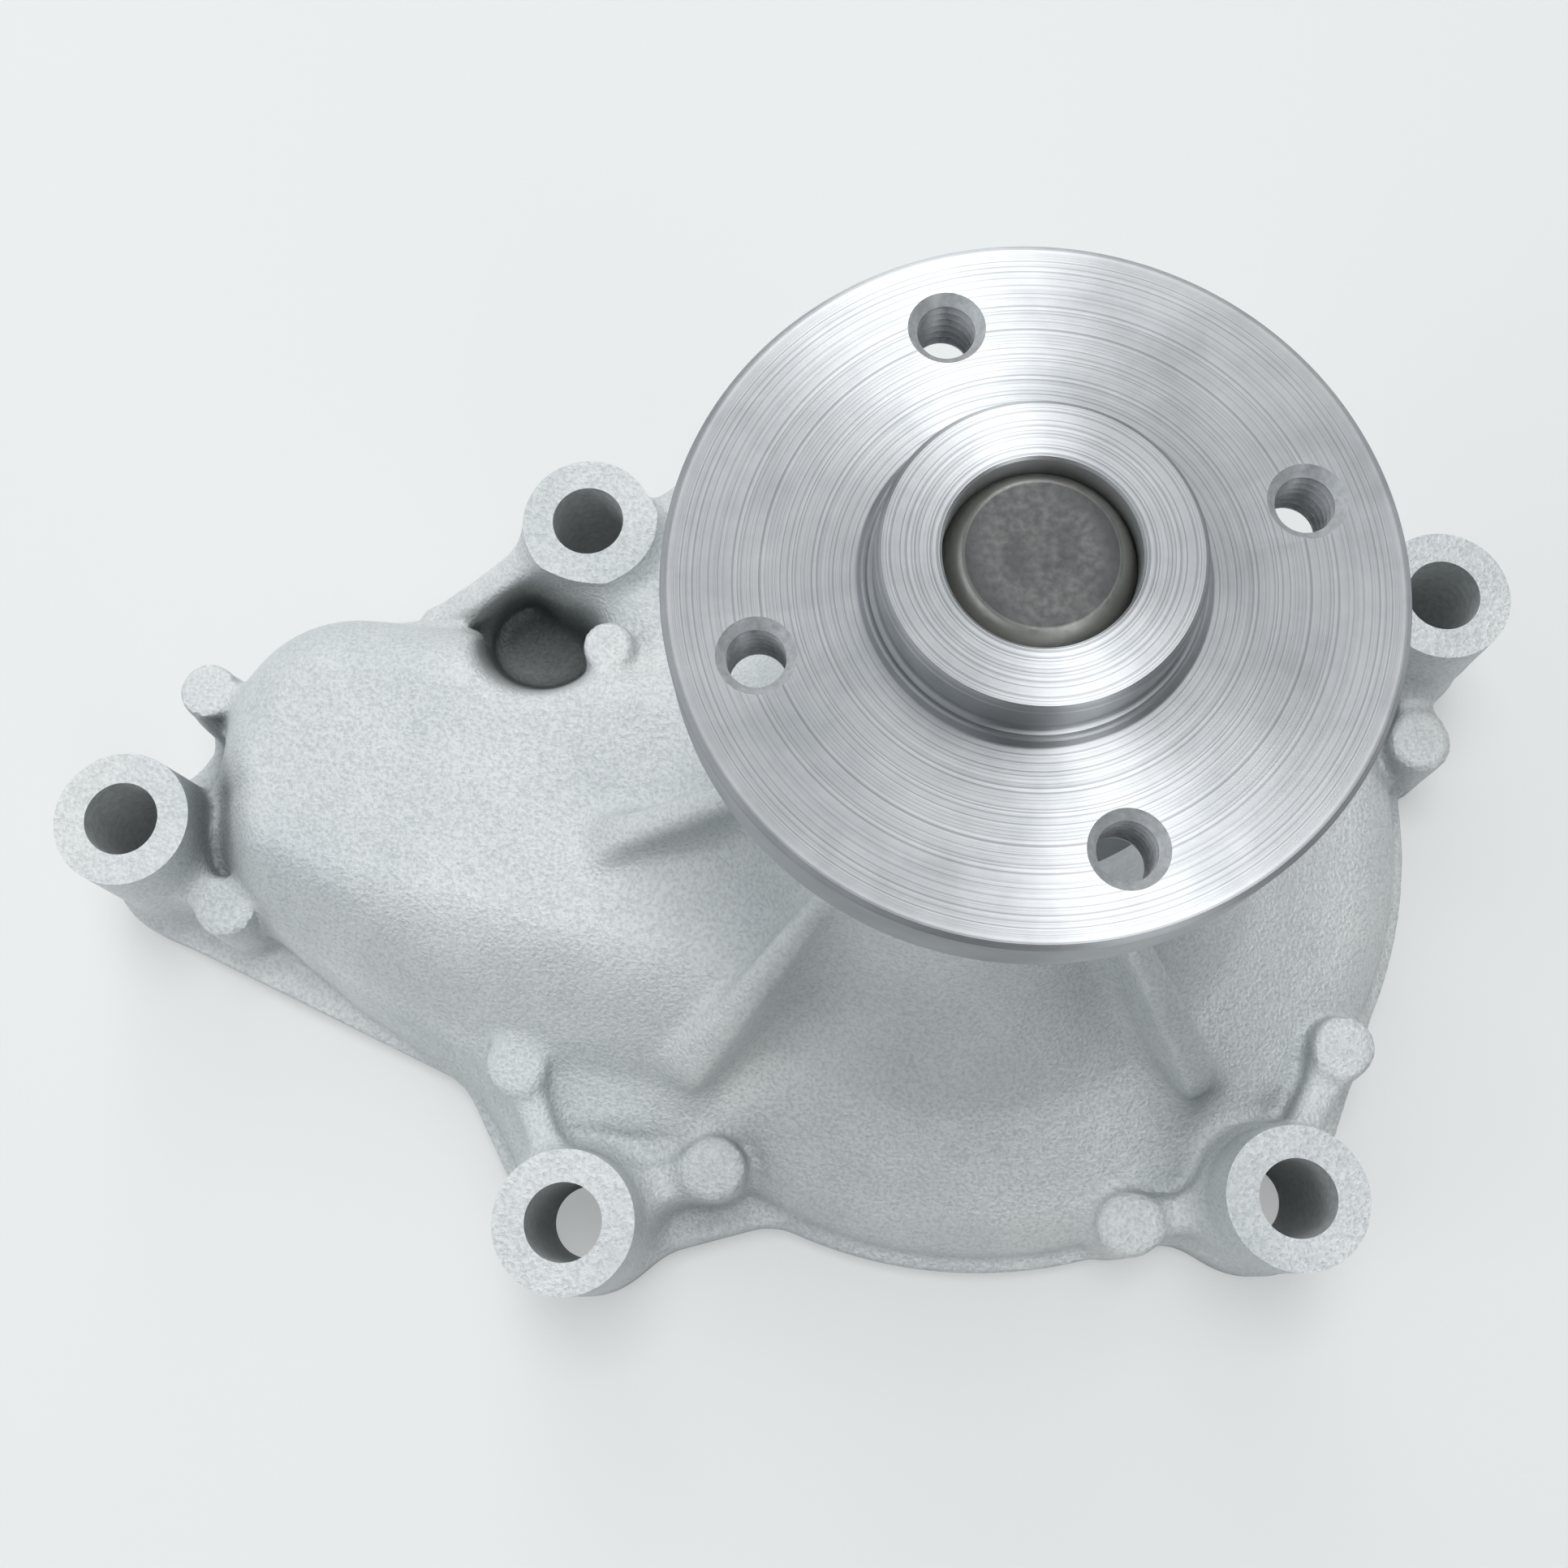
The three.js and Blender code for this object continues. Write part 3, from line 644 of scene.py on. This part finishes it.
def pump_casting():
    """The casting with its cored spaces, then bored, faced and drilled."""
    step = 0.62
    grid = Grid((-114, -63, -2.6), (72, 62, 75), step)
    form = meet(casting_form(grid), -cavity_form(grid), 0.6)
    form = meet(form, -1.6 - grid.z, 0.5)
    form = meet(form, grid.z - (HUB_TOP + 1.2), 0.5)
    piece = skin("pump_casting", grid, form,
                 ["cast_aluminium", "milled_aluminium", "drilled_aluminium"])
    milled = "milled_aluminium"
    tools = [
        lathe("face_cut", [(0, -30), (160, -30), (160, 0), (0, 0)], milled, 64),
        lathe("hub_cut", [(0, HUB_TOP), (40, HUB_TOP), (40, 90), (0, 90)], milled, 64),
        lathe("bore_cut", [(0, 17.9), (SEAL_BORE_R, 17.9), (SEAL_BORE_R, 28.9), (13.5, 28.9),
                           (13.5, 32.5), (BEARING_R, 32.5), (BEARING_R, 72.2), (15.8, 73.1),
                           (15.8, 80), (0, 80)], milled, 128),
    ]
    for x, y in BOSSES:
        tools.append(lathe("boss_top_cut", [(0, BOSS_TOP), (8.9, BOSS_TOP), (8.9, 32), (0, 32)],
                           "cast_aluminium", 48, (x, y, 0)))
        tools.append(lathe("bolt_hole_cut", [(0, -3), (BOLT_HOLE_R + 0.4, -3),
                                             (BOLT_HOLE_R + 0.4, 0.1), (BOLT_HOLE_R, 0.6),
                                             (BOLT_HOLE_R, 40), (0, 40)], "drilled_aluminium", 64,
                           (x, y, 0)))
    drill = lathe("weep_cut", [(0, 11), (WEEP_R, 11), (WEEP_R, 42), (0, 42)], milled, 32)
    drill.data.transform(Matrix.Translation((0, 0, WEEP_Z * MM))
                         @ Matrix.Rotation(WEEP_ANGLE, 4, "Z")
                         @ Matrix.Rotation(math.pi / 2, 4, "Y"))
    tools.append(drill)
    machine(piece, tools)
    settle(piece, "casing", "cast_aluminium", "pump_housing")


# ---------------------------------------------------------------- the drive flange

def thread_profile(low, high, minor, major, pitch, chamfer):
    """Tool for a tapped hole: rings of thread between two chamfers."""
    points = [(0, low - 1), (chamfer + 0.6, low - 0.6), (chamfer, low),
              (minor, low + chamfer - minor)]
    z = low + chamfer - minor + 0.2
    while z + pitch < high - (chamfer - minor) - 0.1:
        points += [(minor, z), (major, z + pitch * 0.44), (major, z + pitch * 0.56),
                   (minor, z + pitch * 0.98)]
        z += pitch
    points += [(minor, high - (chamfer - minor)), (chamfer, high), (chamfer + 0.6, high + 0.6),
               (0, high + 1)]
    return points


def drive_flange():
    """Hub, disc and nose turned in one piece, then drilled and tapped."""
    bore = SHAFT_R + 0.02
    profile = [(bore, FLANGE_FROM), (13.2, FLANGE_FROM)]
    profile += arc(13.2, FLANGE_FROM + 0.8, 0.8, -90, 0, 4)
    profile += arc(15.6, 85.4, 1.6, 180, 90, 6)
    profile += [(FLANGE_R - 0.7, FLANGE_BACK), (FLANGE_R, FLANGE_BACK + 0.7)]
    profile += [(FLANGE_R, FLANGE_FACE - 0.45), (FLANGE_R - 0.45, FLANGE_FACE)]
    profile += [(NOSE_R + 1.5, FLANGE_FACE)]
    profile += arc(NOSE_R + 1.5, FLANGE_FACE + 0.3, 0.3, -90, -150, 2)
    profile += [(NOSE_R + 1.0, FLANGE_FACE + 0.9), (NOSE_R + 0.8, FLANGE_FACE + 1.05)]
    profile += arc(NOSE_R + 0.45, FLANGE_FACE + 1.45, 0.55, -90, -180, 4)
    profile += [(NOSE_R, FLANGE_FACE + 2.2), (NOSE_R, NOSE_TOP - 0.5), (NOSE_R - 0.5, NOSE_TOP)]
    profile += [(bore + 0.22, NOSE_TOP), (bore, NOSE_TOP - 0.22)]
    piece = lathe("turned_drive_flange", profile, "turned_steel", 256)
    tools = []
    for i in range(4):
        tool = lathe("tap", thread_profile(FLANGE_BACK, FLANGE_FACE, TAPPED_MINOR_R,
                                           TAPPED_MAJOR_R, TAPPED_PITCH, 3.35),
                     "tapped_steel", 48)
        angle = TAPPED_FIRST + TURN * i / 4
        tool.data.transform(Matrix.Translation(
            (TAPPED_CIRCLE_R * math.cos(angle) * MM, TAPPED_CIRCLE_R * math.sin(angle) * MM, 0)))
        tools.append(tool)
    machine(piece, tools)
    settle(piece, "rotor", "turned_steel", "drive_flange")


# ---------------------------------------------------------------- the bearing

def bearing():
    """Integral-shaft bearing: shaft, outer race, two rows of balls in snap cages, lip seals."""
    groove = BALL_R + 0.1
    profile = [(0, SHAFT_FROM), (6.9, SHAFT_FROM), (SHAFT_R, SHAFT_FROM + 1)]
    for z in BALL_ROWS.values():
        profile += [(SHAFT_R, z - 2.1)] + arc(BALL_PITCH_R, z, groove, 224, 136, 8)
        profile += [(SHAFT_R, z + 2.1)]
    profile += [(SHAFT_R, SHAFT_TO - 2.4), (SHAFT_R - 0.15, SHAFT_TO - 1.9),
                (SHAFT_R - 0.85, SHAFT_TO - 0.7), (SHAFT_R - 1.5, SHAFT_TO - 0.08),
                (SHAFT_R - 1.75, SHAFT_TO), (2.6, SHAFT_TO - 0.02), (2.2, SHAFT_TO - 0.1),
                (0, SHAFT_TO - 0.14)]
    settle(lathe("ground_bearing_shaft", profile, "bearing_steel", 160),
           "rotor", "bearing_steel", "bearing_shaft")
    ring = [(12.3, 33), (14.4, 33)] + arc(14.4, 33.6, 0.6, -90, 0, 4)
    ring += arc(14.4, 71.3, 0.6, 0, 90, 4) + [(12.3, 71.9)]
    for row in ("front", "rear"):
        ring += arc(BALL_PITCH_R, BALL_ROWS[row], groove, 47.4, -47.4, 8)
    settle(lathe("bearing_outer_race", ring, "bearing_steel", 128),
           "casing", "bearing_steel", "bearing_outer_ring")
    for end, z in BALL_ROWS.items():
        body = f"{end}_ball_set"
        way = 1 if end == "rear" else -1
        edges = sorted((z - 1.6 * way, z + 4.0 * way))
        cage = lathe(f"{end}_snap_cage", [(8.6, edges[0]), (11.6, edges[0]), (11.8, edges[0] + 0.2),
                                          (11.8, edges[1] - 0.2), (11.6, edges[1]),
                                          (8.6, edges[1])], "cage_plastic", 96)
        tools = []
        for i in range(BALL_COUNT):
            a = TURN * i / BALL_COUNT
            at = (BALL_PITCH_R * math.cos(a), BALL_PITCH_R * math.sin(a), z)
            ball = lathe(f"{end}_bearing_ball_{i + 1}", arc(0, 0, BALL_R, -90, 90, 16),
                         "ball_steel", 32, at)
            settle(ball, body, "ball_steel", f"{end}_ball_{i + 1}")
            tools.append(lathe("pocket_tool", arc(0, 0, BALL_R + 0.25, -90, 90, 12),
                               "cage_plastic", 24, at))
        machine(cage, tools)
        settle(cage, body, "cage_plastic", f"{end}_bearing_cage")
    for end, z in (("front", 69.9), ("rear", 33.6)):
        lip = [(SHAFT_R + 0.1, z + 0.5), (SHAFT_R + 0.5, z + 0.1), (9.2, z + 0.35), (10.2, z),
               (12.1, z), (12.1, z + 1.4), (10.2, z + 1.4), (9.2, z + 1.0),
               (SHAFT_R + 0.5, z + 1.3), (SHAFT_R + 0.1, z + 0.9)]
        settle(lathe(f"{end}_lip_seal", lip, "black_rubber", 96),
               "casing", "black_rubber", f"{end}_bearing_seal")


# ---------------------------------------------------------------- the face seal

def face_seal():
    """Still half (case, bellows, carbon ring, spring), turning half (seat, cup) and slinger."""
    can = [(17.5, 17.1), (19.6, 17.1)] + arc(19.6, 17.5, 0.4, -90, 90, 4)
    can += [(18.6, 17.9), (18.12, 18.4), (18.12, 27.6)] + arc(17.12, 27.6, 1.0, 0, 90, 5)
    can += [(9.6, 28.6), (9.6, 28.0), (16.9, 28.0), (17.5, 27.4)]
    settle(lathe("drawn_seal_case", can, "seal_brass", 128), "casing", "seal_brass", "seal_case")
    bellows = [(9.6, 22.8), (11.4, 22.8), (11.8, 23.3), (11.1, 23.9), (11.9, 24.5), (11.1, 25.1),
               (11.8, 25.7), (11.6, 26.3), (16.7, 26.3), (16.9, 26.5), (16.9, 27.5), (9.6, 27.5)]
    settle(lathe("seal_rubber_bellows", bellows, "black_rubber", 96),
           "casing", "black_rubber", "seal_bellows")
    face = [(9.6, 18.7), (9.8, 18.5), (12.0, 18.5), (12.2, 18.7), (12.2, 20.1), (12.4, 20.3),
            (15.2, 20.3), (15.4, 20.5), (15.4, 22.3), (15.2, 22.5), (9.6, 22.5)]
    settle(lathe("carbon_face_ring", face, "carbon", 128), "casing", "carbon", "carbon_ring")
    seat = [(9.0, 14.4), (9.2, 14.2), (12.1, 14.2), (12.3, 14.4), (12.3, 18.0), (12.1, 18.2),
            (9.2, 18.2), (9.0, 18.0)]
    settle(lathe("ceramic_face_seat", seat, "ceramic", 128), "rotor", "ceramic", "ceramic_seat")
    cup = [(8.7, 12.8), (13.6, 12.8), (14.0, 13.2), (14.0, 17.2), (12.6, 17.2), (12.6, 13.9),
           (8.7, 13.9)]
    settle(lathe("rubber_seat_cup", cup, "black_rubber", 96), "rotor", "black_rubber", "seat_cup")
    ring = [(8.2, 29.5), (9.8, 29.5), (10.3, 30.0), (12.4, 30.7), (12.4, 31.4), (8.2, 31.4)]
    settle(lathe("rubber_slinger", ring, "black_rubber", 96), "rotor", "black_rubber", "slinger")
    coil = bpy.data.curves.new("seal_coil_spring", "CURVE")
    coil.dimensions, coil.bevel_depth, coil.bevel_resolution = "3D", 0.55 * MM, 4
    coil.use_fill_caps = True
    line = coil.splines.new("POLY")
    count, coils, coil_r = 128, 2, 14
    line.points.add(count)
    for i in range(count + 1):
        a = coils * TURN * i / count
        z = 23.6 + 1.7 * i / count
        line.points[i].co = (coil_r * math.cos(a) * MM, coil_r * math.sin(a) * MM, z * MM, 1)
    coil.materials.append(FINISHES["spring_steel"])
    settle(add("seal_coil_spring", coil), "casing", "spring_steel", "seal_spring")


# ---------------------------------------------------------------- the impeller

def impeller():
    """Open iron impeller with six swept vanes, bored for the shaft and recessed for the seat."""
    grid = Grid((-38.6, -38.6, 0), (38.6, 38.6, 19), 0.5)
    disc = turned_body(grid, 0, 0, [(0, 37), (9.4, 37), (10.2, 35), (12, 30), (13.4, 16.2),
                                    (14, 16), (19, 16)])
    under = grid.z - 7.4 - 1.4 * np.clip((37 - circle(grid, 0, 0, 0)) / 23, 0, 1)
    form = meet(meet(disc, -under, 0.8), circle(grid, 0, 0, 36.9), 1.0)
    form = join(form, meet(circle(grid, 0, 0, 12.0) - 0.1 * grid.z, grid.z - 12, 1.0), 2.0)
    form = meet(form, grid.z - 17.4, 0.6)
    angle = np.arctan2(grid.y, grid.x)
    radius = circle(grid, 0, 0, 0)
    swept = angle + 0.75 * np.clip((radius - 12) / 24.8, 0, 1)
    turn = TURN / 6
    off = np.abs((swept + turn / 2) % turn - turn / 2) * radius * 0.9
    vane = meet(off - 1.25 - 0.05 * grid.z, circle(grid, 0, 0, 36.7), 1.0)
    vane = meet(vane, grid.z - 9.5, 0.5)
    form = join(form, meet(vane, 11 - radius, 0.8), 1.8)
    form = meet(form, 1.4 - grid.z, 0.6)
    piece = skin("cast_impeller", grid, form, ["cast_iron"])
    machine(piece, [
        lathe("hub_bore", [(0, -1), (SHAFT_R + 0.03, -1), (SHAFT_R + 0.03, 30), (0, 30)],
              "cast_iron", 96),
        lathe("seat_recess", [(0, 12.5), (14.2, 12.5), (14.2, 30), (0, 30)], "cast_iron", 96),
    ])
    settle(piece, "rotor", "cast_iron", "impeller")


# ---------------------------------------------------------------- stage, light and camera

def table():
    """Plain pale table that keeps the object's shadow; the eye sees it a little paler."""
    shape = bmesh.new()
    bmesh.ops.create_grid(shape, x_segments=1, y_segments=1, size=3.0)
    shape.transform(Matrix.Translation((0, 0, -0.0004)))
    mesh = bpy.data.meshes.new("table")
    shape.to_mesh(mesh)
    shape.free()
    material, tree, shader = finish("matt_table", "#D0D2D2", 0.0, 0.9)
    glow = node(tree, "ShaderNodeEmission", {"Color": srgb("#ECEFEF"), "Strength": 1.0})
    path = node(tree, "ShaderNodeLightPath")
    share = node(tree, "ShaderNodeMath", {"operation": "MULTIPLY", 1: 0.42},
                 {0: path.outputs["Is Camera Ray"]})
    blend = node(tree, "ShaderNodeMixShader", None,
                 {0: share.outputs[0], 1: shader.outputs[0], 2: glow.outputs[0]})
    tree.links.new(blend.outputs[0], tree.nodes["Material Output"].inputs["Surface"])
    mesh.materials.append(material)
    add("table", mesh)


def sky():
    """Soft sky with a bright seam overhead, a little to the right, that draws the highlight
    fans on turned faces. The eye sees a plain pale wall in its place."""
    world = bpy.data.worlds.new("even_sky")
    world.use_nodes = True
    tree = world.node_tree
    facing = node(tree, "ShaderNodeTexCoord")
    split = node(tree, "ShaderNodeSeparateXYZ", None, {0: facing.outputs["Generated"]})
    lean = node(tree, "ShaderNodeMath", {"operation": "MULTIPLY_ADD", 1: 0.3, 2: -0.22},
                {0: split.outputs["Y"]})
    across = node(tree, "ShaderNodeMath", {"operation": "ADD"},
                  {0: split.outputs["X"], 1: lean.outputs[0]})
    aside = node(tree, "ShaderNodeMath", {"operation": "ABSOLUTE"}, {0: across.outputs[0]})
    band = node(tree, "ShaderNodeValToRGB", None, {0: aside.outputs[0]},
                [(0.0, "#FAFBFB"), (0.11, "#EDEEEF"), (0.2, "#8C8F91"), (0.32, "#444749"),
                 (0.6, "#444749"), (0.85, "#A4A7A9")])
    band.color_ramp.interpolation = "EASE"
    height = node(tree, "ShaderNodeMath", {"operation": "MULTIPLY_ADD", 1: 0.3},
                  {0: split.outputs["Y"], 2: split.outputs["Z"]})
    climb = node(tree, "ShaderNodeValToRGB", None, {0: height.outputs[0]},
                 [(0.0, "#606365"), (0.3, "#A6A9AB"), (0.75, "#F4F5F6"), (1.0, "#FFFFFF")])
    tone = node(tree, "ShaderNodeMix", {**MULTIPLIED, 0: 1.0},
                {6: band.outputs[0], 7: climb.outputs[0]})
    lit = node(tree, "ShaderNodeBackground", {"Strength": 2.9}, {"Color": tone.outputs[2]})
    wall = node(tree, "ShaderNodeBackground", {"Color": srgb("#E4E7E7"), "Strength": 1.0})
    path = node(tree, "ShaderNodeLightPath")
    seen = node(tree, "ShaderNodeMixShader", None,
                {0: path.outputs["Is Camera Ray"], 1: lit.outputs[0], 2: wall.outputs[0]})
    tree.links.new(seen.outputs[0], tree.nodes["World Output"].inputs["Surface"])
    bpy.context.scene.world = world


def lamps():
    """Three soft boxes aimed at the shaft's foot: name, place and size in metres, watts."""
    for name, at, size, power in (
            ("soft_box_above", (-0.05, 0.16, 0.85), (0.3, 0.3), 2.9),
            ("soft_box_back", (-0.3, 0.7, 0.5), (0.5, 0.4), 1.5),
            ("soft_box_left", (-0.8, -0.3, 0.5), (0.5, 0.5), 2.1)):
        lamp = bpy.data.lights.new(name, "AREA")
        lamp.shape, lamp.energy = "RECTANGLE", power
        lamp.size, lamp.size_y = size
        lamp.color = (1.0, 1.0, 1.0)
        made = add(name, lamp)
        made.visible_glossy = False
        made.location = at
        made.rotation_euler = (-Vector(at)).to_track_quat("-Z", "Y").to_euler()


def camera():
    """Looking down on the flange from a little below, close in. Place in metres."""
    lens = bpy.data.cameras.new("camera")
    lens.sensor_width = 36.0
    lens.lens = 38.76
    lens.clip_start, lens.clip_end = 0.01, 20.0
    eye = Vector((-0.01828, -0.05136, 0.22532))
    view = Vector((-0.0165, 0.2511, -0.9678)).normalized()
    right = view.cross(Vector((0.0, 0.968, 0.2511))).normalized()
    up = right.cross(view)
    made = add("camera", lens)
    made.matrix_world = Matrix((
        (right.x, up.x, -view.x, eye.x), (right.y, up.y, -view.y, eye.y),
        (right.z, up.z, -view.z, eye.z), (0, 0, 0, 1)))
    bpy.context.scene.camera = made


bpy.context.scene.view_settings.view_transform = "Standard"
camera()
table()
sky()
lamps()
pump_casting()
drive_flange()
bearing()
face_seal()
impeller()
